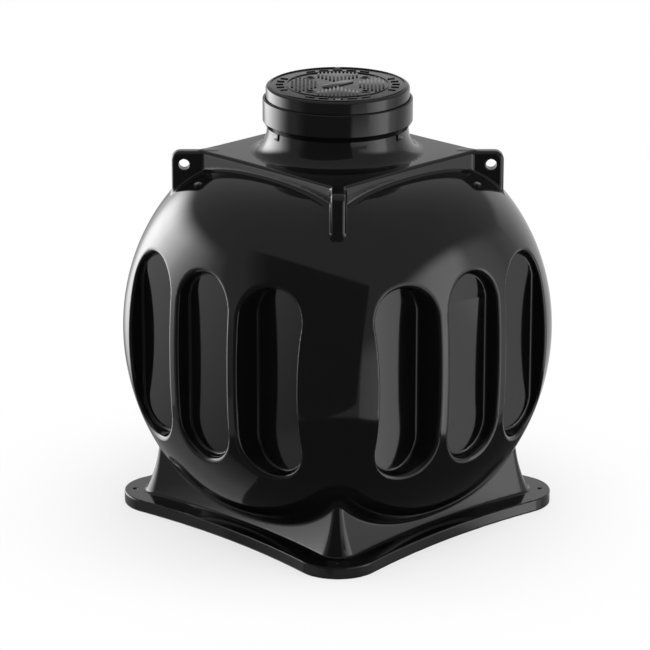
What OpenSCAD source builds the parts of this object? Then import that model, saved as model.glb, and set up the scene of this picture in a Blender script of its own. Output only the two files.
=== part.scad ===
// Drain inspection chamber: a ball-shaped rotomoulded tank on a square anchoring flange,
// with stiffening pockets round its sides, four lifting webs and a round access neck
// that carries a collar ring and a lift-out tread cover.
// Millimetres, +Z up, origin at the centre of the base, flat sides along X and Y.

/* [Tank ball] */
// Radius of the ball form
ball_r = 916; // [870:2:960]
// Distance of the flattened sides from the axis
side_flat = 808; // [780:2:830]
// Height of the flattened crown above the ball's centre
crown_flat = 755; // [735:1:775]
// How sharply the ball turns into its flats, higher is sharper
flat_sharpness = 13; // [9:1:18]
// Height of the ball's centre above the ground
ball_z = 785; // [770:1:800]
// Wall thickness of the moulding
wall = 10; // [7:0.5:14]

/* [Side pockets] */
// Distance between neighbouring pockets on one side
pocket_pitch = 348; // [338:1:356]
// Width of a pocket's flat floor
pocket_w = 278; // [240:1:286]
// Height of a pocket's flat floor between its round ends
pocket_h = 784; // [680:2:800]
// Height of the pockets' middle above the ground
pocket_z = 791; // [775:1:805]
// Depth of a middle pocket's floor below the flattened side
middle_depth = 86; // [66:1:108]
// Depth of an outer pocket's floor below the flattened side
outer_depth = 142; // [130:1:160]
// How far a pocket's walls lean out from its floor
pocket_draft = 6; // [3:0.5:10]
// Radius of the roll where a pocket meets the ball
rim_roll = 14; // [8:1:17]
// How much further the roll reaches at a pocket's ends, where the ball slopes away
rim_end = 12; // [0:1:16]

/* [Anchoring flange] */
// Half width of the flange at the middle of its hollow sides
flange_mid = 660; // [650:1:672]
// Distance of the flange's rounded corners from the axis
flange_corner = 915; // [905:1:925]
// Radius of the flange's corners
flange_corner_r = 180; // [174:1:192]
// Thickness of the flange
flange_t = 52; // [40:1:60]
// Rounding of the flange's upper edge
flange_edge = 5; // [2:0.5:8]
// Width of the solid rim that the anchor holes go through
flange_rim = 66; // [60:1:74]
// Distance between the anchor holes along each side
anchor_pitch = 1230; // [1220:1:1240]
// Diameter of the anchor holes
anchor_d = 18; // [12:1:22]

/* [Skirt and corner legs] */
// Width of the flat ledge outside the skirt's foot
ledge = 93; // [85:1:98]
// Height of the skirt above the flange
skirt_h = 270; // [262:1:285]
// How far the skirt leans in over its height
skirt_lean = 62; // [55:1:68]
// How quickly the skirt turns upright, higher is quicker
skirt_curve = 2.2; // [1.6:0.1:3]

/* [Shoulder plate] */
// Height of the shoulder plate's top above the ground
plate_z = 1562; // [1552:1:1574]
// Half width of the plate at the middle of its sides
plate_mid = 413; // [404:1:418]
// Distance of the plate's corners from the axis
plate_corner = 586; // [578:1:592]
// Radius of the plate's corners
plate_corner_r = 22; // [18:1:30]
// Rounding of the plate's top edge
plate_edge = 16; // [8:1:17]

/* [Lifting webs] */
// Step down from the plate's top to the webs' tops
web_drop = 2; // [1:0.5:5]
// Distance of the webs' outer edges from the axis
web_reach = 694; // [684:1:704]
// Thickness of a web
web_t = 60; // [50:1:70]
// Radius of a web's top corner
web_top_r = 38; // [30:1:48]
// Rounding of a web's outer edges
web_edge = 17; // [10:1:20]
// Distance of the lifting eyes from the axis
eye_reach = 641; // [636:1:648]
// Depth of the lifting eyes below the plate's top
eye_drop = 58; // [52:1:66]
// Diameter of the lifting eyes
eye_d = 46; // [36:1:52]

/* [Neck] */
// Outer radius of the neck
neck_r = 296; // [285:1:305]
// Wall thickness of the neck
neck_wall = 12; // [9:0.5:16]
// Height of the neck above the shoulder plate
neck_h = 168; // [160:1:180]
// How far the neck flares out at the shoulder plate
flare_out = 65; // [50:1:72]
// Height of the flare
flare_h = 100; // [80:1:110]
// How far the stop lugs stand out from the neck
lug_out = 22; // [14:1:26]
// Height of a stop lug's root
lug_h = 28; // [20:1:32]
// Thickness of a stop lug
lug_t = 12; // [8:1:16]
// Gap between the collar ring and the stop lugs
lug_gap = 22; // [10:1:26]

/* [Collar ring] */
// Height of the collar ring
collar_h = 100; // [94:1:108]
// Height of the ring above its shelf
collar_rise = 41; // [34:1:48]
// Thickness of the ring's wall round the cover
collar_wall = 11; // [9:0.5:14]
// Clearance between the ring, the neck and the cover
fit_gap = 2; // [1:0.5:3]
// Thickness of the shelf that carries the cover
shelf_t = 14; // [10:1:18]
// Clear radius inside the shelf
clear_r = 264; // [255:1:272]
// Rounding of the ring's edges
collar_edge = 5; // [2:0.5:5]
// Thickness of the rubber seals
seal_t = 4; // [3:0.5:6]
// Width of the rubber seals
seal_w = 11; // [8:0.5:12]

/* [Cover] */
// Height of the cover above its seal, without the tread
cover_h = 90; // [80:1:100]
// How far the cover stands out over the neck's radius
cover_over = 4; // [2:0.5:6]
// Thickness of the cover's top
cover_t = 14; // [10:1:18]
// Thickness of the cover's skirt
cover_skirt = 13; // [12:0.5:16]
// Rounding of the cover's top edge
cover_edge = 12; // [6:1:12]
// Height of the raised tread
tread_h = 4; // [2:0.5:6]
// Width of the tread bars
bar_w = 9; // [6:0.5:11]
// Distance between neighbouring tread bars
bar_pitch = 16; // [14:0.5:20]
// Radius of the middle field with the straight bars
field_r = 205; // [190:1:208]
// Width of the plain cross bands
band_w = 52; // [44:1:60]
// Inner radius of the fans of short bars near the rim
fan_in = 222; // [216:1:228]
// Length of a short bar in the fans
fan_bar = 40; // [30:1:44]
// Angle from one of those bars to the next
fan_step = 9; // [6:1:11]
// Angle from one dash beside the field to the next
dash_step = 14; // [12:1:18]
// Radius of the raised ring at the rim
rim_ring_r = 282; // [278:1:284]
// Width of the two marks that show how the cover lies
mark_w = 24; // [16:1:30]
// Radius of the circle that the key holes lie on
key_ring_r = 162; // [150:1:172]
// Diameter of the key holes
key_d = 24; // [18:1:30]
// Length of the plain panel at the cover's middle
panel_l = 150; // [120:1:170]
// Width of the plain panel at the cover's middle
panel_w = 44; // [36:1:50]
// Turn of the panel from the bars
panel_turn = 24; // [-45:1:45]
// Stiffening ribs under each quarter of the cover
quarter_ribs = 2; // [2, 4]
// Height of the ribs under the cover
rib_h = 40; // [24:1:60]
// Thickness of the ribs under the cover
rib_t = 8; // [5:0.5:12]

/* [Hidden] */
black_pe = [0.05, 0.05, 0.055];
cover_black = [0.09, 0.09, 0.095];
rubber_black = [0.02, 0.02, 0.02];
corners = 4;
over = 1;
round_fn = 128;

// The corner that the cover's tread, its nubs and the neck's stop lugs are set out from
front = -45;

// Heights, from the ground up
neck_top = plate_z + neck_h;
shelf_under = neck_top + seal_t;
shelf_top = shelf_under + shelf_t;
collar_top = shelf_top + collar_rise;
collar_foot = collar_top - collar_h;
cover_foot = shelf_top + seal_t;
cover_top = cover_foot + cover_h;

// The shoulder plate rises out of the ball from here, the lugs slope up from below their
// tops, and the cross bands of the tread keep bars this far from their middle lines
shoulder_foot = ball_z + crown_flat * 0.8;
lug_slope = lug_h * 0.4;
band_half = band_w * 0.75;

// Radii round the neck
cover_r = neck_r + cover_over;
collar_r = cover_r + fit_gap + collar_wall;

// ---------------------------------------------------------------- outlines

// The flange, the skirt and the shoulder plate share one kind of outline: a square with
// round corners and hollow sides, drawn as tangent arcs. An inset keeps the arcs' centres.
function arc_centre(corner, r) = (corner - r) / sqrt(2);

function hollow_r(mid, corner, r) =
    let (c = arc_centre(corner, r), k = c - mid) (c * c + k * k - r * r) / (2 * (k + r));

// One side of such an outline, with nc steps on each half corner and ns along the side
function side_points(mid, corner, r, inset, nc, ns) =
    let (
        c = arc_centre(corner, r),
        hollow = hollow_r(mid, corner, r),
        a = asin(c / (hollow + r)),
        rc = r - inset,
        rh = hollow + inset
    )
    concat(
        [for (i = [0 : nc - 1]) let (t = -45 + (45 - a) * i / nc) [c + rc * cos(t), -c + rc * sin(t)]],
        [for (i = [0 : ns]) let (t = -a + 2 * a * i / ns) [mid + hollow - rh * cos(t), rh * sin(t)]],
        [for (i = [1 : nc - 1]) let (t = a + (45 - a) * i / nc) [c + rc * cos(t), c + rc * sin(t)]]
    );

function turned(p, a) = [p.x * cos(a) - p.y * sin(a), p.x * sin(a) + p.y * cos(a)];

function outline(mid, corner, r, inset, nc, ns) =
    [for (q = [0 : corners - 1]) for (p = side_points(mid, corner, r, inset, nc, ns)) turned(p, 90 * q)];

// A closed loft through rings of equally many points
module loft(rings) {
    n = len(rings[0]);
    last = len(rings) - 1;
    bottom = [for (i = [0 : n - 1]) i];
    top = [for (i = [n - 1 : -1 : 0]) last * n + i];
    walls = [for (k = [0 : last - 1]) for (i = [0 : n - 1]) let (j = (i + 1) % n, a = k * n, b = a + n)
        for (f = [[a + i, b + i, b + j], [a + i, b + j, a + j]]) f];
    polyhedron([for (ring = rings) for (p = ring) p], concat([bottom], walls, [top]), convexity = 8);
}

// The hollow-sided outline lofted through stations of [height, inset]
module outline_loft(mid, corner, r, stations, nc, ns) {
    loft([for (s = stations) [for (p = outline(mid, corner, r, s[1], nc, ns)) [p.x, p.y, s[0]]]]);
}

// Stations of a rounded upper edge
function edge_stations(top, r, n) =
    [for (i = [0 : n]) let (t = 90 * i / n) [top - r + r * sin(t), r - r * cos(t)]];

// Points of a rounded corner in a revolved profile, from angle a to a + 90
function round_corner(x, y, r, a) =
    [for (i = [0 : 4]) let (t = a + 90 * i / 4) [x + r * cos(t), y + r * sin(t)]];

// ---------------------------------------------------------------- ball and pockets

// Reach of the ball's surface in one direction: a sphere blended into flat sides and a flat crown
function ball_reach(az, el, inset) =
    let (k = flat_sharpness, x = abs(cos(el) * cos(az)), y = abs(cos(el) * sin(az)), z = abs(sin(el)))
    pow(pow(1 / (ball_r - inset), k) + pow(x / (side_flat - inset), k)
        + pow(y / (side_flat - inset), k) + pow(z / (crown_flat - inset), k), -1 / k);

// The ball between two equal latitudes
module ball(inset, n_az, n_el, el_max) {
    loft([for (e = [0 : n_el]) let (el = -el_max + 2 * el_max * e / n_el)
        [for (i = [0 : n_az - 1]) let (az = 360 * i / n_az, r = ball_reach(az, el, inset))
            [r * cos(el) * cos(az), r * cos(el) * sin(az), ball_z + r * sin(el)]]]);
}

// Over 1 outside the ball and under 1 inside it
function ball_value(x, y, z) =
    let (k = flat_sharpness)
    pow(norm([x, y, z]) / ball_r, k) + pow(x / side_flat, k) + pow(abs(y) / side_flat, k)
        + pow(abs(z) / crown_flat, k);

// Distance of the ball's surface from the plane x = 0, at one place on its +X side
function ball_depth(y, z, low = 0, high = ball_r, steps = 20) =
    let (x = (low + high) / 2)
    steps == 0 ? x
    : ball_value(x, y, z) > 1 ? ball_depth(y, z, low, x, steps - 1)
    : ball_depth(y, z, x, high, steps - 1);

// A pocket's outline, seen along X: straight sides at w from its middle line and round ends
// that reach a further distance past the straight part
function pocket_outline(w, reach, n_end = 8, n_side = 4) =
    let (h = pocket_h / 2 - pocket_w / 2)
    concat(
        [for (i = [0 : n_end / 2]) let (t = 90 + 180 * i / n_end) [w * cos(t), h + reach * sin(t)]],
        [for (i = [1 : n_side - 1]) [-w, h - 2 * h * i / n_side]],
        [for (i = [0 : n_end]) let (t = 180 + 180 * i / n_end) [w * cos(t), -h + reach * sin(t)]],
        [for (i = [1 : n_side]) [w, -h + 2 * h * i / n_side]],
        [for (i = [1 : n_end / 2 - 1]) let (t = 180 * i / n_end) [w * cos(t), h + reach * sin(t)]]
    );

// One pocket at distance y from the side's middle: a flat floor, leaning walls, and a rolled
// rim that follows the ball
module pocket(y, floor_x) {
    half = pocket_w / 2;
    wall_w = half + pocket_draft;
    roll = [for (t = [0, 45, 90]) let (out = 1 - cos(t))
        [pocket_outline(wall_w + rim_roll * out, wall_w + (rim_roll + rim_end) * out), rim_roll * (1 - sin(t))]];
    floor_ring = [for (p = pocket_outline(half, half)) [floor_x, y + p.x, pocket_z + p.y]];
    roll_rings = [for (r = roll) [for (p = r[0])
        [ball_depth(y + p.x, pocket_z - ball_z + p.y) - r[1], y + p.x, pocket_z + p.y]]];
    outer_ring = [for (p = roll[2][0]) [ball_r, y + p.x, pocket_z + p.y]];
    loft(concat([floor_ring], roll_rings, [outer_ring]));
}

// The back of a pocket's wall, inside the tank
module pocket_back(y, floor_x) {
    w = pocket_w / 2 + pocket_draft + wall;
    h = (pocket_h - pocket_w) / 2;
    translate([floor_x - wall, y, pocket_z]) rotate([90, 0, 90]) linear_extrude(ball_r - floor_x) {
        for (s = [-1, 1]) translate([0, s * h]) circle(w, $fn = 64);
        square([2 * w, 2 * h], center = true);
    }
}

// Three pockets on each of the four sides
module pocket_layout() {
    for (q = [0 : corners - 1]) rotate(90 * q)
        for (i = [-1 : 1]) pocket(i * pocket_pitch, side_flat - (i == 0 ? middle_depth : outer_depth));
}

module pocket_back_layout() {
    for (q = [0 : corners - 1]) rotate(90 * q)
        for (i = [-1 : 1]) pocket_back(i * pocket_pitch, side_flat - (i == 0 ? middle_depth : outer_depth));
}

// ---------------------------------------------------------------- base

// Inset of the skirt at a height above the flange, with its foot at the ledge
function skirt_inset(h) = ledge + skirt_lean * (1 - pow(1 - h / skirt_h, skirt_curve));

function skirt_stations(low, high, n, add) =
    [for (i = [0 : n]) let (h = low + (high - low) * i / n) [flange_t + h, skirt_inset(h) + add]];

module base() {
    outline_loft(flange_mid, flange_corner, flange_corner_r, concat(
        [[0, 0]],
        edge_stations(flange_t, flange_edge, 2),
        skirt_stations(0, skirt_h, 6, 0)
    ), 3, 8);
}

module base_hollow() {
    outline_loft(flange_mid, flange_corner, flange_corner_r, concat(
        [[wall, flange_rim], [flange_t - wall, flange_rim], [flange_t - wall, ledge + wall]],
        skirt_stations(0, skirt_h - wall, 3, wall)
    ), 2, 4);
}

// Places a child at each corner of a square, turned to face outwards
module at_corners() {
    for (q = [0 : corners - 1]) rotate(45 + 90 * q) children();
}

anchor_reach = anchor_pitch / sqrt(2);

module anchor_holes() {
    at_corners() translate([anchor_reach, 0, -over]) cylinder(d = anchor_d, h = flange_t + 2 * over, $fn = 32);
}

// ---------------------------------------------------------------- shoulder plate and webs

module shoulder_plate() {
    outline_loft(plate_mid, plate_corner, plate_corner_r, concat(
        [[shoulder_foot, 0]], edge_stations(plate_z, plate_edge, 3)
    ), 2, 6);
}

module shoulder_hollow() {
    side = 2 * (plate_mid - wall);
    low = shoulder_foot - wall;
    translate([-side / 2, -side / 2, low]) cube([side, side, plate_z - wall - low]);
}

// One lifting web: a plate on the diagonal with rounded outer edges
module web() {
    foot = ball_z + sqrt(ball_r * ball_r - web_reach * web_reach) - web_t;
    inner = plate_corner - web_t;
    length = web_reach - inner;
    height = plate_z - web_drop - foot;
    intersection() {
        translate([0, web_t / 2, 0]) rotate([90, 0, 0]) linear_extrude(web_t) {
            translate([inner, foot]) square([length, height - web_top_r]);
            translate([inner, foot]) square([length - web_top_r, height]);
            translate([web_reach - web_top_r, foot + height - web_top_r]) circle(web_top_r, $fn = 64);
        }
        translate([0, 0, foot - over]) linear_extrude(height + 2 * over) {
            translate([inner - over, -web_t / 2]) square([length - web_edge + over, web_t]);
            translate([inner - over, web_edge - web_t / 2]) square([length + over, web_t - 2 * web_edge]);
            for (s = [-1, 1]) translate([web_reach - web_edge, s * (web_t / 2 - web_edge)]) circle(web_edge, $fn = 48);
        }
    }
}

module lifting_eyes() {
    at_corners() translate([eye_reach, 0, plate_z - eye_drop]) rotate([90, 0, 0])
        cylinder(d = eye_d, h = web_t + 2 * over, center = true, $fn = 64);
}

// ---------------------------------------------------------------- neck

// A quarter ellipse from the shoulder plate up to the neck
function flare_points(r, z, n) =
    [for (i = [0 : n]) let (t = 90 * i / n) [r + flare_out * (1 - sin(t)), z + flare_h * (1 - cos(t))]];

module neck() {
    rotate_extrude($fn = round_fn) polygon(concat(
        [[0, neck_top], [0, plate_z - wall], [neck_r + flare_out, plate_z - wall]],
        flare_points(neck_r, plate_z, 8),
        [[neck_r, neck_top]]
    ));
}

module neck_hollow() {
    inner = neck_r - neck_wall;
    low = plate_z - flare_h;
    rotate_extrude($fn = round_fn) polygon(concat(
        [[0, neck_top + over], [0, low], [inner + flare_out, low]],
        flare_points(inner, plate_z - wall, 8),
        [[inner, neck_top + over]]
    ));
}

// Pointed stop lugs on the neck, just below the collar ring
module stop_lugs() {
    top = collar_foot - lug_gap;
    for (i = [0 : 2]) rotate(front + 60 + 120 * i)
        translate([0, lug_t / 2, 0]) rotate([90, 0, 0]) linear_extrude(lug_t)
            polygon([[neck_r - neck_wall / 2, top - lug_h], [neck_r, top - lug_h],
                [neck_r + lug_out, top - lug_slope], [neck_r, top], [neck_r - neck_wall / 2, top]]);
}

module tank_shell() {
    color(black_pe) difference() {
        union() {
            difference() {
                ball(0, 72, 26, 65);
                pocket_layout();
            }
            base();
            shoulder_plate();
            at_corners() web();
            neck();
            stop_lugs();
        }
        difference() {
            union() {
                ball(wall, 48, 16, 64);
                base_hollow();
                shoulder_hollow();
                neck_hollow();
            }
            pocket_back_layout();
        }
        anchor_holes();
        lifting_eyes();
    }
}

// ---------------------------------------------------------------- collar and seals

module ring(r_in, r_out, low, high) {
    rotate_extrude($fn = round_fn) translate([r_in, low]) square([r_out - r_in, high - low]);
}

module neck_seal() {
    color(rubber_black) ring(neck_r - seal_w, neck_r, neck_top, shelf_under);
}

module collar_ring() {
    e = collar_edge;
    color(black_pe) rotate_extrude($fn = round_fn) polygon(concat(
        [[neck_r + fit_gap, collar_foot], [neck_r + fit_gap, shelf_under],
            [clear_r, shelf_under], [clear_r, shelf_top],
            [cover_r + fit_gap, shelf_top], [cover_r + fit_gap, collar_top]],
        [for (i = [0 : 4]) let (t = 90 - 90 * i / 4) [collar_r - e + e * cos(t), collar_top - e + e * sin(t)]],
        [for (i = [0 : 4]) let (t = -90 * i / 4) [collar_r - e + e * cos(t), collar_foot + e + e * sin(t)]]
    ));
}

module cover_seal() {
    color(rubber_black) ring(cover_r - seal_w, cover_r, shelf_top, cover_foot);
}

// ---------------------------------------------------------------- cover

// A bar of the tread along Y, between two distances from the cover's middle line
module bar(x, y0, y1) {
    translate([x - bar_w / 2, y0]) square([bar_w, y1 - y0]);
}

// Bars of the quarter of the field behind the middle, cut off at the cross bands
module end_bars() {
    n = floor((field_r / sqrt(2) - band_w) / bar_pitch);
    for (i = [-n : n]) let (x = abs(i) * bar_pitch)
        bar(i * bar_pitch, x + band_half, sqrt(pow(field_r, 2) - pow(x + bar_w, 2)));
}

// Columns of the quarter of the field beside the middle
function column_half(x) = min(x - band_half, sqrt(pow(field_r, 2) - pow(x + bar_w / 2, 2)));

columns = [for (x = [field_r - bar_pitch : -bar_pitch : 2 * band_half]) x];

module side_bars() {
    for (x = columns) bar(x, -column_half(x), column_half(x));
}

module side_studs() {
    for (x = columns) let (n = floor((column_half(x) - bar_w / 2) / bar_pitch))
        for (i = [-n : n]) translate([-x, i * bar_pitch]) square(bar_w, center = true);
}

module fans() {
    for (a = [0, 180], i = [-2 : 2]) rotate(a + fan_step * i)
        translate([fan_in, -bar_w / 2]) square([fan_bar, bar_w]);
    for (a = [90, 270], i = [-2 : 2]) rotate(a + dash_step * i)
        translate([fan_in + fan_bar / 2 - bar_w / 2, -fan_bar / 2]) square([bar_w, fan_bar]);
}

module circle_line(r) {
    difference() {
        circle(r + bar_w / 4, $fn = round_fn);
        circle(r - bar_w / 4, $fn = round_fn);
    }
}

module panel() {
    rotate(panel_turn) {
        square([panel_l - panel_w, panel_w], center = true);
        for (s = [-1, 1]) translate([s * (panel_l - panel_w) / 2, 0]) circle(d = panel_w, $fn = 48);
    }
}

module marks() {
    low = fan_in + fan_bar - bar_w;
    for (a = [90, 270]) rotate(a) translate([low, -mark_w / 2]) square([rim_ring_r - low, mark_w]);
}

module tread() {
    marks();
    end_bars();
    rotate(180) end_bars();
    side_bars();
    side_studs();
    fans();
    circle_line(fan_in - bar_w);
    circle_line(rim_ring_r);
    panel();
}

module cover_body() {
    e = cover_edge;
    inner = cover_r - cover_skirt;
    rotate_extrude($fn = round_fn) polygon(concat(
        [[0, cover_top], [0, cover_top - cover_t], [inner, cover_top - cover_t], [inner, cover_foot],
            [cover_r, cover_foot]],
        [for (i = [0 : 4]) let (t = 90 * i / 4) [cover_r - e + e * cos(t), cover_top - e + e * sin(t)]]
    ));
}

module cover_ribs() {
    hub = key_d;
    low = cover_top - cover_t - rib_h;
    for (i = [0 : corners * quarter_ribs - 1]) rotate(front + 90 / quarter_ribs * (i + 0.5))
        translate([hub, -rib_t / 2, low]) cube([cover_r - cover_skirt / 2 - hub, rib_t, rib_h + over]);
    translate([0, 0, low]) cylinder(r = 2 * hub, h = rib_h + over, $fn = 48);
}

module cover() {
    color(cover_black) difference() {
        union() {
            cover_body();
            cover_ribs();
            translate([0, 0, cover_top - over]) rotate(front + 90) linear_extrude(tread_h + over) tread();
        }
        for (q = [0 : 3]) rotate(90 * q) translate([key_ring_r, 0, cover_top - cover_t - rib_h - over])
            cylinder(d = key_d, h = cover_t + rib_h + tread_h + 2 * over, $fn = 48);
    }
}

tank_shell();
neck_seal();
collar_ring();
cover_seal();
cover();
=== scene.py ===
import math
import bpy
import numpy as np
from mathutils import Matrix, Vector


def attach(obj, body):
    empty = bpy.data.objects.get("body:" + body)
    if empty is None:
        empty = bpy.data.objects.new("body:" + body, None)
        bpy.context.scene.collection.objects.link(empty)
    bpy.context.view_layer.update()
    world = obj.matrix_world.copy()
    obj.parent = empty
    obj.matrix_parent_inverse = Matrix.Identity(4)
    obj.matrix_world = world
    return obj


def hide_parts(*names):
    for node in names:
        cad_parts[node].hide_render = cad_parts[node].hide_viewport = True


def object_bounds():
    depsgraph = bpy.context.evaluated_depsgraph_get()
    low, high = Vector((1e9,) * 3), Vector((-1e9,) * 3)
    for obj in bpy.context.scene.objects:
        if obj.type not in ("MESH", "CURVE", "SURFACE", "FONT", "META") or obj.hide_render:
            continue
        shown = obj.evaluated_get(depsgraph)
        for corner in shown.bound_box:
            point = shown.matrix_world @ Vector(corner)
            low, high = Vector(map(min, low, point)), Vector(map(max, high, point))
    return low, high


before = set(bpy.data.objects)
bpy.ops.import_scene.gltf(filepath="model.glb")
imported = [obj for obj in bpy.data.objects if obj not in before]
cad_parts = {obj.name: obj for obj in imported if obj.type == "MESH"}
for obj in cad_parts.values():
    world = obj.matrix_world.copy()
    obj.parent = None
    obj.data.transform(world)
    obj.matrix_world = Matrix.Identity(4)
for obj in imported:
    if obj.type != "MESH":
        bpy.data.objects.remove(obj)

cad_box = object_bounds()


# ---------------------------------------------------------------- camera
# A long lens from the front corner of the flange, a little above the shoulder plate,
# so the two front sides show equally and their pockets keep their widths.
camera_data = bpy.data.cameras.new("camera")
camera_data.sensor_width = 36
camera_data.lens = 200.2
camera_data.clip_end = 100
camera_data.dof.use_dof = False
camera = bpy.data.objects.new("camera", camera_data)
bpy.context.scene.collection.objects.link(camera)
camera.location = (10.2646, -10.3394, 5.548)
sight = Vector((-0.0374, -0.0374, 0.7916)) - camera.location
camera.rotation_euler = sight.to_track_quat("-Z", "Y").to_euler()
bpy.context.scene.camera = camera


# ---------------------------------------------------------------- tank
# One rotomoulded piece of black polyethylene: ball, pockets, skirt, anchoring flange,
# shoulder plate, lifting webs and neck. The mould leaves no sharp edge, so the form is
# made as one rounded field, in which each part runs into the next with its own radius.
ball_r, ball_side, ball_crown, ball_turn, ball_z = 0.916, 0.808, 0.755, 13, 0.785
pocket_z, pocket_half, pocket_straight, pocket_lean = 0.791, 0.139, 0.253, 0.08
pocket_fillet, rim_roll, rim_end = 0.010, 0.014, 0.012
pockets = ((0.0, 0.722), (0.348, 0.666))
flange = (0.660, 0.915, 0.180)
flange_top, flange_edge, ledge = 0.052, 0.005, 0.093
skirt_h, skirt_lean, skirt_curve, skirt_fillet = 0.270, 0.062, 2.2, 0.020
anchor_half, anchor_r, ledge_fillet = 0.615, 0.009, 0.010
plate = (0.413, 0.586, 0.022)
plate_top, plate_edge, plate_low, plate_fillet = 1.562, 0.016, 1.389, 0.014
web_reach, web_half, web_drop, web_foot, web_corner, web_round = 0.694, 0.030, 0.002, 1.323, 0.038, 0.016
eye_reach, eye_z, eye_r = 0.641, 1.504, 0.023
eye_edge, web_fillet = 0.004, 0.006
neck_r, neck_bore, neck_top, bore_low, flare_out, flare_h = 0.296, 0.284, 1.730, 1.45, 0.065, 0.100
neck_edge, neck_fillet, anchor_edge = 0.003, 0.001, 0.002


def cut_round(a, b, r):
    """What is inside both forms, with a round of radius r where they meet."""
    return np.minimum(-r, np.maximum(a, b)) + np.hypot(np.maximum(a + r, 0), np.maximum(b + r, 0))


def join_round(a, b, r):
    """What is inside either form, with a fillet of radius r where they meet."""
    return -cut_round(-a, -b, r)


def hollow_square(u, v, mid, corner, r):
    """Distance from a square with round corners and hollow sides, on its wedge with u over v."""
    c = (corner - r) / math.sqrt(2)
    k = c - mid
    hollow = (c * c + k * k - r * r) / (2 * (k + r))
    slope = math.tan(math.asin(c / (hollow + r)))
    side = hollow - np.hypot(mid + hollow - u, v)
    nose = np.hypot(u - c, v - c) - r
    return np.where(v < (mid + hollow - u) * slope, side, nose)


def ball_form(u, v, z):
    """The sphere, turned into flat sides and a flat crown."""
    k, w = ball_turn, z - ball_z
    n = np.sqrt(u * u + v * v + w * w) + 1e-6
    g = (n / ball_r) ** k + (u / ball_side) ** k + (v / ball_side) ** k + (np.abs(w) / ball_crown) ** k
    pull = n ** (k - 2) / ball_r ** k
    gu = pull * u + u ** (k - 1) / ball_side ** k
    gv = pull * v + v ** (k - 1) / ball_side ** k
    gw = pull * np.abs(w) + np.abs(w) ** (k - 1) / ball_crown ** k
    steep = np.sqrt(gu * gu + gv * gv + gw * gw) / g ** ((k - 1) / k)
    return (g ** (1 / k) - 1) / steep


def pocket_form(u, v, z, middle, floor):
    """The space in one pocket: flat floor, filleted foot and leaning walls."""
    past = np.maximum(np.abs(z - pocket_z) - pocket_straight, 0)
    wall = np.hypot(v - middle, past) - pocket_half - pocket_lean * (u - floor)
    return cut_round(floor - u, wall, pocket_fillet), past


def base_form(u, v, z):
    """The anchoring flange and the skirt that curves up from its ledge."""
    gap = hollow_square(u, v, *flange)
    plinth = cut_round(gap, np.abs(z - flange_top / 2) - flange_top / 2, flange_edge)
    h = np.clip((z - flange_top) / skirt_h, 0, 1)
    inset = ledge + skirt_lean * (1 - (1 - h) ** skirt_curve)
    lean = skirt_lean * skirt_curve / skirt_h * (1 - h) ** (skirt_curve - 1)
    skirt = np.maximum((gap + inset) / np.sqrt(1 + lean * lean), z - flange_top - skirt_h)
    return plinth, np.maximum(skirt, 0.01 - z)


def web_form(u, v, z):
    """One lifting web on the diagonal, with its eye."""
    m, n = (u + v) / math.sqrt(2), (u - v) / math.sqrt(2)
    side = cut_round(m - web_reach, z - plate_top + web_drop, web_corner)
    side = np.maximum(np.maximum(side, web_foot - z), 0.5 - m)
    side = cut_round(side, n - web_half, web_round)
    return cut_round(side, eye_r - np.hypot(m - eye_reach, z - eye_z), eye_edge)


def neck_form(r, z):
    """The neck and its elliptical flare, still solid."""
    eu, ez = (neck_r + flare_out - r) / flare_out, (plate_top + flare_h - z) / flare_h
    e = np.hypot(eu, ez) + 1e-6
    steep = np.hypot(eu / flare_out, ez / flare_h) / e + 1e-6
    flare = np.where(eu <= 0, z - plate_top, np.where(ez <= 0, r - neck_r, (1 - e) / steep))
    column = np.maximum(bore_low - z, r - neck_r - flare_out)
    return np.maximum(cut_round(flare, z - neck_top, neck_edge), column)


def tank_form(x, y, z):
    """Distance from the whole tank's skin, below zero inside the plastic."""
    ax, ay, r = np.abs(x), np.abs(y), np.hypot(x, y)
    u, v = np.maximum(ax, ay), np.minimum(ax, ay)
    form = ball_form(u, v, z)
    for middle, floor in pockets:
        space, past = pocket_form(u, v, z, middle, floor)
        form = cut_round(form, -space, rim_roll + rim_end * np.clip(past / pocket_half, 0, 1) ** 2)
    plinth, skirt = base_form(u, v, z)
    form = join_round(join_round(form, skirt, skirt_fillet), plinth, ledge_fillet)
    shoulder = cut_round(hollow_square(u, v, *plate), z - plate_top, plate_edge)
    shoulder = join_round(np.maximum(shoulder, plate_low - z), web_form(u, v, z), web_fillet)
    form = join_round(form, shoulder, plate_fillet)
    form = join_round(form, neck_form(r, z), neck_fillet)
    form = cut_round(form, np.minimum(neck_bore - r, z - bore_low), neck_edge)
    hole = np.maximum(np.hypot(u - anchor_half, v - anchor_half) - anchor_r, z - 2 * flange_top)
    return cut_round(form, -hole, anchor_edge)


def settle(points, rounds, reach=0.0004, longest=0.006):
    """Moves points onto the tank's skin, and gives the skin's outward direction there."""
    for i in range(rounds):
        away = tank_form(*points.T)
        slope = np.stack([tank_form(*(points + step).T) - tank_form(*(points - step).T)
                          for step in np.eye(3) * reach], 1)
        out = slope / (np.linalg.norm(slope, axis=1, keepdims=True) + 1e-12)
        points = points - out * np.clip(away, -longest, longest)[:, None]
    return points, out


# The skin is read off a fine grid: one point in each cell that the skin passes through,
# and one face round each grid edge that it crosses.
cell, grid_from, grid_to = 0.0075, -0.8193, 0.8176
across = np.arange(grid_from, grid_to, cell)
upward = np.arange(-cell / 2, neck_top + 1.5 * cell, cell)
gx, gy = np.meshgrid(across, across, indexing="ij")
field = np.stack([tank_form(gx, gy, np.full_like(gx, z)) for z in upward], 2).astype(np.float32)
solid = field < 0

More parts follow.
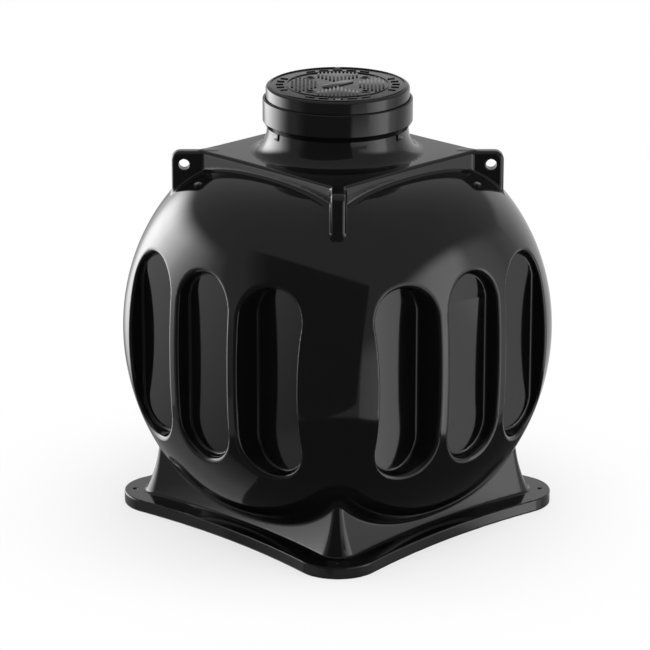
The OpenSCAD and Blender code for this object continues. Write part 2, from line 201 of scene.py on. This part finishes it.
# Where two filled corners of a cell touch only across its diagonal, a third is filled, so
# that the skin never pinches to a line.
for repeat in range(3):
    for a, b in ((0, 1), (0, 2), (1, 2)):
        corner = [[slice(None)] * 3 for i in range(4)]
        for k, (da, db) in enumerate(((0, 0), (0, 1), (1, 0), (1, 1))):
            corner[k][a] = slice(da, da - 1 or None)
            corner[k][b] = slice(db, db - 1 or None)
        c00, c01, c10, c11 = (solid[tuple(c)] for c in corner)
        fill_01, fill_00 = c00 & c11 & ~c01 & ~c10, c01 & c10 & ~c00 & ~c11
        solid[tuple(corner[1])] |= fill_01
        solid[tuple(corner[0])] |= fill_00

count = sum(solid[i:i - 1 or None, j:j - 1 or None, k:k - 1 or None].astype(np.int8)
            for i in (0, 1) for j in (0, 1) for k in (0, 1))
crossed = np.argwhere((count > 0) & (count < 8))
number = np.full(count.shape, -1, np.int64)
number[tuple(crossed.T)] = np.arange(len(crossed))
origin = np.array([across[0], across[0], upward[0]])
points, skin_normals = settle(origin + (crossed + 0.5) * cell, 3)

quads = []
for axis in range(3):
    b, c = (axis + 1) % 3, (axis + 2) % 3
    low = [slice(1, -1)] * 3
    low[axis] = slice(0, -1)
    high = list(low)
    high[axis] = slice(1, None)
    here, there = solid[tuple(low)], solid[tuple(high)]
    for rising in (True, False):
        edges = np.argwhere((here & ~there) if rising else (~here & there))
        edges += [0 if i == axis else 1 for i in range(3)]
        ring = []
        for db, dc in ((-1, -1), (0, -1), (0, 0), (-1, 0)):
            step = np.zeros(3, int)
            step[b], step[c] = db, dc
            ring.append(number[tuple((edges + step).T)])
        quads.append(np.stack(ring if rising else ring[::-1], 1))
quads = np.concatenate(quads)

tank_mesh = bpy.data.meshes.new("tank")
tank_mesh.vertices.add(len(points))
tank_mesh.vertices.foreach_set("co", points.ravel())
tank_mesh.loops.add(quads.size)
tank_mesh.loops.foreach_set("vertex_index", quads.ravel())
tank_mesh.polygons.add(len(quads))
tank_mesh.polygons.foreach_set("loop_start", np.arange(0, quads.size, 4))
tank_mesh.update(calc_edges=True)
tank = bpy.data.objects.new("tank", tank_mesh)
bpy.context.scene.collection.objects.link(tank)
bpy.ops.object.select_all(action="DESELECT")
bpy.context.view_layer.objects.active = tank
tank.select_set(True)

# Flat stretches then need few faces, so the count comes down where the skin hardly turns.
# The corners that stay are settled on the skin again, and slivers between them are closed.
skin_triangles, sliver, flat_foot = 190000, 0.00003, 0.004
thin = tank.modifiers.new("thin", "DECIMATE")
thin.ratio = skin_triangles / (2 * len(quads))
bpy.ops.object.modifier_apply(modifier="thin")
for rounds in (3, 1):
    corners = np.empty(len(tank_mesh.vertices) * 3)
    tank_mesh.vertices.foreach_get("co", corners)
    corners, skin_normals = settle(corners.reshape(-1, 3), rounds)
    corners[:, 2] = np.clip(corners[:, 2], 0, neck_top)
    corners[:, :2] = np.clip(corners[:, :2], cad_box[0][0], cad_box[1][0])
    corners[(corners[:, 2] < flat_foot) & (skin_normals[:, 2] < -0.9), 2] = 0
    tank_mesh.vertices.foreach_set("co", corners.ravel())
    if rounds == 3:
        bpy.ops.object.mode_set(mode="EDIT")
        bpy.ops.mesh.select_all(action="SELECT")
        bpy.ops.mesh.dissolve_degenerate(threshold=sliver)
        bpy.ops.mesh.quads_convert_to_tris()
        bpy.ops.object.mode_set(mode="OBJECT")

# Three stop lugs stand on the neck under the collar ring. Each is a low ramp that ends in
# an upright step, and tapers down to a point the other way. Spans run from step to point.
lug_low, lug_point, lug_high, lug_tip = 1.643, 1.647, 1.670, 0.002
lug_out, lug_proud, lug_sunk, lug_edge, lug_steps = 0.005, 0.001, 0.006, 0.0008, 6
lug_spans = [(-100.5, -111), (10.5, 21), (129.5, 140)]
lugs = []
for start, end in lug_spans:
    bpy.ops.object.select_all(action="DESELECT")
    points = []
    for i in range(lug_steps + 1):
        share = i / lug_steps
        turn = math.radians(start + (end - start) * share)
        low = lug_low + (lug_point - lug_tip - lug_low) * share
        high = lug_high + (lug_point + lug_tip - lug_high) * share
        root, out = neck_r - lug_sunk, neck_r + lug_proud + lug_out * (1 - share)
        points += [(r * math.cos(turn), r * math.sin(turn), z)
                   for r, z in ((root, low), (out, low), (out, high), (root, high))]
    last = 4 * lug_steps
    ramp = bpy.data.meshes.new("lug")
    ramp.from_pydata(points, [], [(0, 1, 2, 3), (last + 3, last + 2, last + 1, last)] + [
        (4 * i + k, 4 * i + 4 + k, 4 * i + 4 + (k + 1) % 4, 4 * i + (k + 1) % 4)
        for i in range(lug_steps) for k in range(4)])
    lug = bpy.data.objects.new("lug", ramp)
    bpy.context.scene.collection.objects.link(lug)
    bpy.context.view_layer.objects.active = lug
    lug.select_set(True)
    bpy.ops.object.mode_set(mode="EDIT")
    bpy.ops.mesh.select_all(action="SELECT")
    bpy.ops.mesh.normals_make_consistent(inside=False)
    bpy.ops.object.mode_set(mode="OBJECT")
    soften = lug.modifiers.new("soften", "BEVEL")
    soften.width, soften.segments, soften.limit_method = lug_edge, 2, "ANGLE"
    bpy.ops.object.modifier_apply(modifier="soften")
    lugs.append(lug)
bpy.ops.object.select_all(action="DESELECT")
for piece in [tank] + lugs:
    piece.select_set(True)
bpy.context.view_layer.objects.active = tank
bpy.ops.object.join()

# The skin shades by its true direction, and the flat underside and the lugs by their faces.
bpy.ops.object.shade_smooth()
owner = np.empty(len(tank_mesh.loops), np.int64)
tank_mesh.loops.foreach_get("vertex_index", owner)
faces = np.array([face.normal[:] for face in tank_mesh.polygons])
middles = np.array([face.center.z for face in tank_mesh.polygons])
sides = np.array([face.loop_total for face in tank_mesh.polygons])
face_of = np.repeat(np.arange(len(sides)), sides)
on_skin = owner < len(skin_normals)
true = skin_normals[np.minimum(owner, len(skin_normals) - 1)]
shading = np.where(on_skin[:, None], true, faces[face_of])
underside = (faces[face_of, 2] < -0.99) & (middles[face_of] < flat_foot - 0.001)
shading[underside] = (0, 0, -1)
tank_mesh.normals_split_custom_set(shading.tolist())
tank_mesh.update()


def surface_noise(name):
    """Shared effect: the slow waves and fine pebble of a moulded plastic skin, and its faint smears."""
    group = bpy.data.node_groups.new(name, "ShaderNodeTree")
    for label, kind, value in (("Pebble", "NodeSocketFloat", 0.5), ("Waves", "NodeSocketFloat", 0.5),
                               ("Roughness", "NodeSocketFloat", 0.2), ("Spread", "NodeSocketFloat", 0.05)):
        socket = group.interface.new_socket(label, in_out="INPUT", socket_type=kind)
        socket.default_value = value
    for label in ("Roughness", "Height", "Smear"):
        group.interface.new_socket(label, in_out="OUTPUT", socket_type="NodeSocketFloat")
    put, link = group.nodes.new, group.links.new
    inlet, outlet, place = put("NodeGroupInput"), put("NodeGroupOutput"), put("ShaderNodeTexCoord")

    def noise(scale, detail):
        node = put("ShaderNodeTexNoise")
        node.inputs["Scale"].default_value = scale
        node.inputs["Detail"].default_value = detail
        link(place.outputs["Object"], node.inputs["Vector"])
        return node.outputs["Fac"]

    def sum_of(operation, a, b, c=None):
        node = put("ShaderNodeMath")
        node.operation = operation
        for socket, value in zip(node.inputs, (a, b, c)):
            if isinstance(value, (int, float)):
                socket.default_value = value
            elif value is not None:
                link(value, socket)
        return node.outputs[0]

    smear = noise(7.0, 6.0)
    link(smear, outlet.inputs["Smear"])
    uneven = sum_of("SUBTRACT", smear, 0.5)
    link(sum_of("MULTIPLY_ADD", uneven, inlet.outputs["Spread"], inlet.outputs["Roughness"]),
         outlet.inputs["Roughness"])
    pebble = sum_of("MULTIPLY", noise(260.0, 2.0), inlet.outputs["Pebble"])
    link(sum_of("MULTIPLY_ADD", noise(9.0, 1.0), inlet.outputs["Waves"], pebble), outlet.inputs["Height"])
    return group


moulded_skin = surface_noise("moulded_skin")


def black_plastic(name, dark, light, roughness, spread, pebble, waves, gloss, bump):
    """A procedural black plastic: two close blacks, uneven gloss and a moulded surface."""
    material = bpy.data.materials.new(name)
    material.use_nodes = True
    nodes, link = material.node_tree.nodes, material.node_tree.links.new
    shader = nodes["Principled BSDF"]
    shader.inputs["IOR"].default_value = 1.5
    shader.inputs["Specular IOR Level"].default_value = gloss
    skin = nodes.new("ShaderNodeGroup")
    skin.node_tree = moulded_skin
    for label, value in (("Pebble", pebble), ("Waves", waves), ("Roughness", roughness), ("Spread", spread)):
        skin.inputs[label].default_value = value
    blacks = nodes.new("ShaderNodeMix")
    blacks.data_type = "RGBA"
    blacks.inputs["A"].default_value = (*dark, 1)
    blacks.inputs["B"].default_value = (*light, 1)
    relief = nodes.new("ShaderNodeBump")
    relief.inputs["Strength"].default_value = bump
    relief.inputs["Distance"].default_value = 0.001
    link(skin.outputs["Smear"], blacks.inputs["Factor"])
    link(blacks.outputs["Result"], shader.inputs["Base Color"])
    link(skin.outputs["Roughness"], shader.inputs["Roughness"])
    link(skin.outputs["Height"], relief.inputs["Height"])
    link(relief.outputs["Normal"], shader.inputs["Normal"])
    return material


tank_black = black_plastic("tank_black", (0.0026, 0.0026, 0.0028), (0.0042, 0.0042, 0.0044),
                           roughness=0.075, spread=0.035, pebble=0.05, waves=0.3, gloss=0.5, bump=0.15)
tank_mesh.materials.append(tank_black)
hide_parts("tank_shell")
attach(tank, "root")


# ---------------------------------------------------------------- collar ring
# A smooth ring of black plastic that slips over the neck's rim and rests on it by a shelf
# and a seal. Its upper lip stands round the cover, and its foot slants in to the neck.
def turned(name, outline, steps, material):
    """A piece turned from an outline of (radius, height) points, closed unless it ends on the axis."""
    bpy.ops.object.select_all(action="DESELECT")
    mesh = bpy.data.meshes.new(name)
    count = len(outline)
    sides = count - 1 if outline[0][0] == outline[-1][0] == 0 else count
    mesh.from_pydata([(r, 0, z) for r, z in outline], [(i, (i + 1) % count) for i in range(sides)], [])
    piece = bpy.data.objects.new(name, mesh)
    bpy.context.scene.collection.objects.link(piece)
    bpy.context.view_layer.objects.active = piece
    piece.select_set(True)
    bpy.ops.object.mode_set(mode="EDIT")
    bpy.ops.mesh.select_all(action="SELECT")
    bpy.ops.mesh.spin(steps=steps, angle=math.tau, center=(0, 0, 0), axis=(0, 0, 1))
    bpy.ops.mesh.select_all(action="SELECT")
    bpy.ops.mesh.remove_doubles(threshold=0.00002)
    bpy.ops.mesh.normals_make_consistent(inside=False)
    bpy.ops.object.mode_set(mode="OBJECT")
    bpy.ops.object.shade_smooth_by_angle(angle=math.radians(35))
    mesh.materials.append(material)
    return piece


def bend(r, z, radius, start, steps=5):
    """Points of a quarter round about (r, z), clockwise from an angle in degrees."""
    return [(r + radius * math.cos(math.radians(start - 90 * i / steps)),
             z + radius * math.sin(math.radians(start - 90 * i / steps))) for i in range(steps + 1)]


collar_black = black_plastic("collar_black", (0.0030, 0.0030, 0.0032), (0.0048, 0.0048, 0.0050),
                             roughness=0.13, spread=0.04, pebble=0.05, waves=0.2, gloss=0.5, bump=0.2)
collar_foot, collar_top, collar_r, collar_edge = 1.695, 1.789, 0.313, 0.005
collar_in, lip_in, shelf_in, shelf_low, shelf_top = 0.298, 0.302, 0.264, 1.734, 1.748
foot_drop, foot_land, lip_edge = 0.024, 0.0005, 0.002
collar = turned("collar", [
    (collar_in, shelf_low), (shelf_in, shelf_low), (shelf_in, shelf_top), (lip_in, shelf_top),
    *bend(lip_in + lip_edge, collar_top - lip_edge, lip_edge, 180, 3),
    *bend(collar_r - collar_edge, collar_top - collar_edge, collar_edge, 90),
    (collar_r, collar_foot + 0.001), (collar_r - 0.001, collar_foot),
    (collar_in + foot_land, collar_foot - foot_drop), (collar_in, collar_foot - foot_drop)],
    256, collar_black)
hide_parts("collar_ring")
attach(collar, "root")


# ---------------------------------------------------------------- seals
# Two flat rings of black rubber, one between the neck and the collar's shelf and one
# under the cover's skirt. Both stay as the frame has them, with a dull rubber finish.
seal_rubber = black_plastic("seal_rubber", (0.006, 0.006, 0.006), (0.010, 0.010, 0.010),
                            roughness=0.7, spread=0.15, pebble=0.5, waves=0.1, gloss=0.3, bump=0.3)
for seal in ("neck_seal", "cover_seal"):
    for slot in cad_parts[seal].material_slots:
        slot.material = seal_rubber


# ---------------------------------------------------------------- cover
# The lift-out cover: a turned black plastic lid with a deep skirt and a rounded edge,
# moulded in one with its non-slip tread of low bars, studs and dashes.
cover_black = black_plastic("cover_black", (0.0040, 0.0040, 0.0042), (0.0065, 0.0065, 0.0067),
                            roughness=0.13, spread=0.05, pebble=0.15, waves=0.15, gloss=0.5, bump=0.2)
cover_r, cover_low, cover_top, cover_edge, tread_h = 0.300, 1.752, 1.842, 0.012, 0.004
lid_under, skirt_in, sunk = 1.828, 0.287, 0.0005
cover = turned("cover", [
    (0, lid_under), (skirt_in, lid_under), (skirt_in, cover_low), (cover_r, cover_low),
    *bend(cover_r - cover_edge, cover_top - cover_edge, cover_edge, 90, 8)[::-1],
    (0, cover_top)], 256, cover_black)

# The tread is modelled piece by piece from flat blocks with a chamfered top. It is set
# out along the line from the front corner, so the whole of it is turned at the end.
field_r, bar_w, bar_pitch, band_w = 0.205, 0.009, 0.016, 0.052
fan_in, fan_bar, mark_w, rim_line, line_w = 0.222, 0.040, 0.024, 0.282, 0.0045
side_fan, end_fan = math.radians(11.5), math.radians(14)
blocks = []


def block(x, y, length, width, turn=0.0):
    """One raised block of the tread, its length along Y, turned about the cover's middle."""
    blocks.append((x, y, length, width, turn))


def chord(x):
    """Half the length of the round field along a line at x."""
    return math.sqrt(field_r ** 2 - (abs(x) + bar_w / 2) ** 2)


for i in range(-5, 6):
    x = i * bar_pitch
    near = abs(x) + band_w * 0.75
    for end in (1, -1):
        block(x, end * (near + chord(x)) / 2, chord(x) - near, bar_w)
column = field_r - bar_pitch
while column > band_w * 1.5:
    half = min(column - band_w * 0.75, chord(column))
    block(column, 0, 2 * half, bar_w)
    reach = int((half - bar_w / 2) / bar_pitch)
    for i in range(-reach, reach + 1):
        block(-column, i * bar_pitch, bar_w, bar_w)
    column -= bar_pitch
for i in range(-2, 3):
    for side in (0, math.pi):
        block(fan_in + fan_bar / 2, 0, bar_w * 0.7, fan_bar * 0.8, side + side_fan * i)
        block(fan_in + fan_bar / 2, 0, fan_bar, bar_w, side + math.pi / 2 + end_fan * i)
for side in (1, -1):
    block(0, side * (fan_in + fan_bar - bar_w + rim_line) / 2, rim_line - fan_in - fan_bar + bar_w, mark_w)

tread = []
for x, y, length, width, turn in blocks:
    bpy.ops.object.select_all(action="DESELECT")
    bpy.ops.mesh.primitive_cube_add(size=1, location=(x, y, cover_top + tread_h / 2 - sunk))
    bar = bpy.context.object
    bar.scale = (width, length, tread_h + 2 * sunk)
    bpy.ops.object.transform_apply(location=True, rotation=False, scale=True)
    bpy.ops.object.mode_set(mode="EDIT")
    bpy.ops.mesh.select_all(action="DESELECT")
    bpy.ops.object.mode_set(mode="OBJECT")
    for edge in bar.data.edges:
        edge.select = all(bar.data.vertices[i].co.z > cover_top + tread_h / 2 for i in edge.vertices)
    bpy.ops.object.mode_set(mode="EDIT")
    bpy.ops.mesh.bevel(offset=0.0016, segments=2)
    bpy.ops.object.mode_set(mode="OBJECT")
    bar.rotation_euler.z = turn + math.radians(45)
    bpy.ops.object.transform_apply(location=True, rotation=True, scale=True)
    tread.append(bar)

# The plain raised panel at the middle lies askew to the bars, as a maker's plate would.
panel_l, panel_w, panel_edge, panel_turn = 0.165, 0.055, 0.0018, math.radians(90)
bpy.ops.object.select_all(action="DESELECT")
bpy.ops.mesh.primitive_cylinder_add(vertices=64, radius=panel_w / 2, depth=tread_h + 2 * sunk,
                                    location=(0, 0, cover_top + tread_h / 2 - sunk))
panel = bpy.context.object
bpy.ops.object.transform_apply(location=True, rotation=False, scale=False)
for point in panel.data.vertices:
    point.co.x += math.copysign((panel_l - panel_w) / 2, point.co.x)
for edge in panel.data.edges:
    edge.select = all(panel.data.vertices[i].co.z > cover_top + tread_h / 2 for i in edge.vertices)
bpy.ops.object.mode_set(mode="EDIT")
bpy.ops.mesh.bevel(offset=panel_edge, segments=2)
bpy.ops.object.mode_set(mode="OBJECT")
panel.rotation_euler.z = panel_turn
bpy.ops.object.transform_apply(location=False, rotation=True, scale=False)

# Two thin raised rings frame the field and the rim.
rings = []
for r in (fan_in - bar_w, rim_line):
    near, far, top, edge = r - line_w / 2, r + line_w / 2, cover_top + tread_h, 0.001
    rings.append(turned("tread_ring", [(near, cover_top - sunk), (near, top - edge), (near + edge, top),
                                       (far - edge, top), (far, top - edge), (far, cover_top - sunk)],
                        192, cover_black))

# A low rim stands round each of the four holes for the lifting key.
key_r, key_ring, key_rim, rim_w = 0.0145, 0.162, 0.002, 0.007
key_spots = [(key_ring * math.cos(i * math.pi / 2), key_ring * math.sin(i * math.pi / 2)) for i in range(4)]
for x, y in key_spots:
    far, top, edge, hole_edge = key_r + rim_w, cover_top + key_rim, 0.001, 0.0006
    rim = turned("key_rim", [(key_r, cover_top - sunk), (key_r, top - hole_edge), (key_r + hole_edge, top),
                             (far - edge, top), (far, top - edge), (far, cover_top - sunk)], 48, cover_black)
    rim.location = (x, y, 0)
    bpy.ops.object.transform_apply(location=True, rotation=False, scale=False)
    rings.append(rim)

# Eight ribs under the lid stiffen it, clear of the key holes.
rib_middle, rib_l, rib_w, rib_h, rib_z = 0.15, 0.280, 0.008, 0.042, 1.809
ribs = []
for i in range(8):
    bpy.ops.object.select_all(action="DESELECT")
    bpy.ops.mesh.primitive_cube_add(size=1, location=(rib_middle, 0, rib_z))
    rib = bpy.context.object
    rib.scale = (rib_l, rib_w, rib_h)
    bpy.ops.object.transform_apply(location=True, rotation=False, scale=True)
    bpy.ops.object.mode_set(mode="EDIT")
    bpy.ops.mesh.bevel(offset=0.0015, segments=2)
    bpy.ops.object.mode_set(mode="OBJECT")
    rib.rotation_euler.z = math.radians(-22.5 + 45 * i)
    bpy.ops.object.transform_apply(location=False, rotation=True, scale=False)
    ribs.append(rib)

# The four holes for the lifting key go straight through the lid.
cutters = []
for x, y in key_spots:
    bpy.ops.object.select_all(action="DESELECT")
    bpy.ops.mesh.primitive_cylinder_add(vertices=48, radius=key_r, depth=0.08, location=(x, y, 1.83))
    cutters.append(bpy.context.object)
for cutter in cutters:
    cutter.select_set(True)
bpy.context.view_layer.objects.active = cutters[0]
bpy.ops.object.join()
key_cutter = bpy.context.object
bpy.ops.object.transform_apply(location=True, rotation=True, scale=True)
holes = cover.modifiers.new("holes", "BOOLEAN")
holes.operation, holes.solver, holes.object = "DIFFERENCE", "EXACT", key_cutter
bpy.context.view_layer.objects.active = cover
bpy.ops.object.modifier_apply(modifier="holes")
bpy.data.objects.remove(key_cutter, do_unlink=True)

# Lid, tread, panel, rims and ribs are one moulding.
for piece in tread + ribs + [panel]:
    piece.data.materials.clear()
    piece.data.materials.append(cover_black)
bpy.ops.object.select_all(action="DESELECT")
for piece in [cover, panel] + tread + ribs + rings:
    piece.select_set(True)
bpy.context.view_layer.objects.active = cover
bpy.ops.object.join()
bpy.ops.object.shade_smooth_by_angle(angle=math.radians(35))
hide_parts("cover")
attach(cover, "root")


# ---------------------------------------------------------------- studio
# A pale floor that keeps the tank's soft shadow and turns white further out, a white
# surround, large lamps, and the graded cards and dark flags that the gloss reflects.
floor_white = bpy.data.materials.new("floor_white")
floor_white.use_nodes = True
nodes, link = floor_white.node_tree.nodes, floor_white.node_tree.links.new
pale = nodes["Principled BSDF"]
pale.inputs["Base Color"].default_value = (0.86, 0.86, 0.86, 1)
pale.inputs["Roughness"].default_value = 0.9
pale.inputs["Specular IOR Level"].default_value = 0.1
place = nodes.new("ShaderNodeTexCoord")
span = nodes.new("ShaderNodeVectorMath")
span.operation = "LENGTH"
fade = nodes.new("ShaderNodeMapRange")
fade.interpolation_type = "SMOOTHSTEP"
fade.inputs["From Min"].default_value = 0.9
fade.inputs["From Max"].default_value = 1.9
fade.inputs["To Min"].default_value = 0.64
rays = nodes.new("ShaderNodeLightPath")
seen = nodes.new("ShaderNodeMath")
seen.operation = "MULTIPLY"
bright = nodes.new("ShaderNodeEmission")
mixed = nodes.new("ShaderNodeMixShader")
link(place.outputs["Object"], span.inputs[0])
link(span.outputs["Value"], fade.inputs["Value"])
link(fade.outputs["Result"], seen.inputs[0])
link(rays.outputs["Is Camera Ray"], seen.inputs[1])
link(seen.outputs[0], mixed.inputs[0])
link(pale.outputs[0], mixed.inputs[1])
link(bright.outputs[0], mixed.inputs[2])
link(mixed.outputs[0], nodes["Material Output"].inputs["Surface"])
bpy.ops.object.select_all(action="DESELECT")
bpy.ops.mesh.primitive_plane_add(size=24, location=(0, 0, 0))
floor = bpy.context.object
floor.name = "floor"
floor.data.materials.append(floor_white)

world = bpy.data.worlds.new("surround")
bpy.context.scene.world = world
world.use_nodes = True
nodes, link = world.node_tree.nodes, world.node_tree.links.new
rays = nodes.new("ShaderNodeLightPath")
seen = nodes.new("ShaderNodeMath")
seen.operation = "MAXIMUM"
seen_through = nodes.new("ShaderNodeMath")
seen_through.operation = "MAXIMUM"
strength = nodes.new("ShaderNodeMapRange")
strength.inputs["To Min"].default_value = 0.75
strength.inputs["To Max"].default_value = 1.0
link(rays.outputs["Is Camera Ray"], seen.inputs[0])
link(rays.outputs["Is Glossy Ray"], seen.inputs[1])
link(seen.outputs[0], seen_through.inputs[0])
link(rays.outputs["Is Transmission Ray"], seen_through.inputs[1])
link(seen_through.outputs[0], strength.inputs["Value"])
link(strength.outputs["Result"], nodes["Background"].inputs["Strength"])
nodes["Background"].inputs["Color"].default_value = (1, 1, 1, 1)

tank_middle = Vector((0, 0, 0.9))


def studio_card(name, azimuth, elevation, distance, width, tall, glow, soft_top=0.0, low_share=1.0):
    """A card that faces the tank, seen only in its gloss. Glow is a list of (azimuth, strength).

    The glow falls to the ceiling's strength over the top share soft_top, and to low_share
    of itself at the foot."""
    turn, lift = math.radians(azimuth), math.radians(elevation)
    away = Vector((math.cos(turn) * math.cos(lift), math.sin(turn) * math.cos(lift), math.sin(lift)))
    bpy.ops.object.select_all(action="DESELECT")
    bpy.ops.mesh.primitive_plane_add(size=1, location=tank_middle + away * distance)
    flat = bpy.context.object
    flat.name = name
    flat.rotation_euler = (-away).to_track_quat("Z", "Y").to_euler()
    flat.scale = (width, tall, 1)
    material = bpy.data.materials.new(name)
    material.use_nodes = True
    nodes, link = material.node_tree.nodes, material.node_tree.links.new
    nodes.remove(nodes["Principled BSDF"])
    shine = nodes.new("ShaderNodeEmission")
    place = nodes.new("ShaderNodeTexCoord")
    parts = nodes.new("ShaderNodeSeparateXYZ")
    across = nodes.new("ShaderNodeMath")
    across.operation = "ADD"
    across.inputs[1].default_value = 0.5
    ramp = nodes.new("ShaderNodeValToRGB")
    most = max(g for _, g in glow)
    stops = sorted((0.5 + distance * math.tan(math.radians(azimuth - a)) / width, g / most) for a, g in glow)
    for k, (where, value) in enumerate(stops):
        stop = ramp.color_ramp.elements[k] if k < 2 else ramp.color_ramp.elements.new(1.0)
        stop.position = min(max(where, 0.0), 1.0)
        stop.color = (value, value, value, 1)
    up = nodes.new("ShaderNodeMapRange")
    up.inputs["From Min"].default_value = -0.5
    up.inputs["From Max"].default_value = 0.1
    up.inputs["To Min"].default_value = low_share * most
    up.inputs["To Max"].default_value = most
    gain = nodes.new("ShaderNodeMath")
    gain.operation = "MULTIPLY"
    top = nodes.new("ShaderNodeMapRange")
    top.interpolation_type = "SMOOTHSTEP"
    top.inputs["From Min"].default_value = 0.5 - max(soft_top, 0.0001)
    top.inputs["From Max"].default_value = 0.5
    blend = nodes.new("ShaderNodeMix")
    blend.inputs["B"].default_value = ceiling_glow
    link(place.outputs["Object"], parts.inputs[0])
    link(parts.outputs["X"], across.inputs[0])
    link(across.outputs[0], ramp.inputs["Fac"])
    link(parts.outputs["Y"], up.inputs["Value"])
    link(ramp.outputs["Color"], gain.inputs[0])
    link(up.outputs["Result"], gain.inputs[1])
    link(parts.outputs["Y"], top.inputs["Value"])
    link(top.outputs["Result"], blend.inputs["Factor"])
    link(gain.outputs[0], blend.inputs["A"])
    link(blend.outputs["Result"], shine.inputs["Strength"])
    link(shine.outputs[0], nodes["Material Output"].inputs["Surface"])
    flat.data.materials.append(material)
    return flat


# The room behind the cards: an even ceiling, and dark below the horizon.
room_r, ceiling_glow, foot_glow, horizon = 10.0, 0.35, 0.065, math.radians(-28)
bpy.ops.object.select_all(action="DESELECT")
bpy.ops.mesh.primitive_uv_sphere_add(segments=96, ring_count=48, radius=room_r, location=tank_middle)
room = bpy.context.object
room.name = "room"
room_dark = bpy.data.materials.new("room_dark")
room_dark.use_nodes = True
nodes, link = room_dark.node_tree.nodes, room_dark.node_tree.links.new
nodes.remove(nodes["Principled BSDF"])
shine = nodes.new("ShaderNodeEmission")
place = nodes.new("ShaderNodeTexCoord")
parts = nodes.new("ShaderNodeSeparateXYZ")
level = nodes.new("ShaderNodeMapRange")
level.inputs["From Min"].default_value = room_r * math.sin(horizon) - 0.05
level.inputs["From Max"].default_value = room_r * math.sin(horizon) + 0.05
level.inputs["To Min"].default_value = foot_glow
level.inputs["To Max"].default_value = ceiling_glow
link(place.outputs["Object"], parts.inputs[0])
link(parts.outputs["Z"], level.inputs["Value"])
link(level.outputs["Result"], shine.inputs["Strength"])
link(shine.outputs[0], nodes["Material Output"].inputs["Surface"])
room.data.materials.append(room_dark)

# The brightest card is at the left, fading toward the front, where a dark flag stands. The
# right and back cards are weaker, a small patch lights the front and a low one the foot.
cards = [
    room,
    studio_card("left_card", -165, 2, 4.6, 8.6, 5.0,
                [(-205, 0.6), (-194, 1.6), (-184, 4.6), (-176, 6.0), (-166, 6.7), (-153, 5.8),
                 (-145, 4.6), (-141, 3.4), (-137, 2.5), (-133, 1.8), (-127, 0.8), (-122, 0.42)],
                soft_top=0.3, low_share=0.25),
    studio_card("front_flag", -68, 8, 4.4, 8.4, 6.2,
                [(-111, 0.35), (-103, 0.2), (-94, 0.09), (-25, 0.08)]),
    studio_card("right_card", 30, 0, 4.8, 9.2, 5.1,
                [(-13, 0.6), (0, 1.1), (12, 1.9), (21, 2.5), (33, 2.5), (39, 1.1), (48, 0.85),
                 (57, 0.55), (73, 0.6)], soft_top=0.25, low_share=0.95),
    studio_card("patch_card", -12, -9, 4.2, 1.9, 2.7, [(-24, 0.85), (-12, 1.0), (1, 1.25)], soft_top=0.4),
    studio_card("back_card", 121, 0, 5.4, 12.2, 5.8,
                [(73, 0.62), (95, 0.85), (118, 0.72), (168, 0.68)], soft_top=0.15),
    studio_card("left_foot", -165, -44, 5.2, 6.0, 2.8, [(-192, 0.4), (-150, 0.5), (-136, 0.2)])]
for flat in cards:
    flat.visible_camera = flat.visible_diffuse = flat.visible_transmission = flat.visible_shadow = False
floor.visible_glossy = False


def lamp(name, place, width, height, power):
    """A soft rectangular lamp that faces the tank; the cards stand for it in the gloss."""
    data = bpy.data.lights.new(name, "AREA")
    data.shape, data.size, data.size_y, data.energy = "RECTANGLE", width, height, power
    light = bpy.data.objects.new(name, data)
    light.location = place
    light.rotation_euler = (tank_middle - Vector(place)).to_track_quat("-Z", "Y").to_euler()
    light.visible_camera = light.visible_glossy = False
    bpy.context.scene.collection.objects.link(light)


lamp("left_lamp", (-4.5, -1.5, 3.5), 2.8, 2.8, 60)
lamp("right_lamp", (4.0, 3.5, 4.5), 2.8, 2.8, 70)
lamp("top_lamp", (0.6, 0.3, 6.0), 4.0, 4.0, 130)

bpy.context.scene.view_settings.view_transform = "Standard"
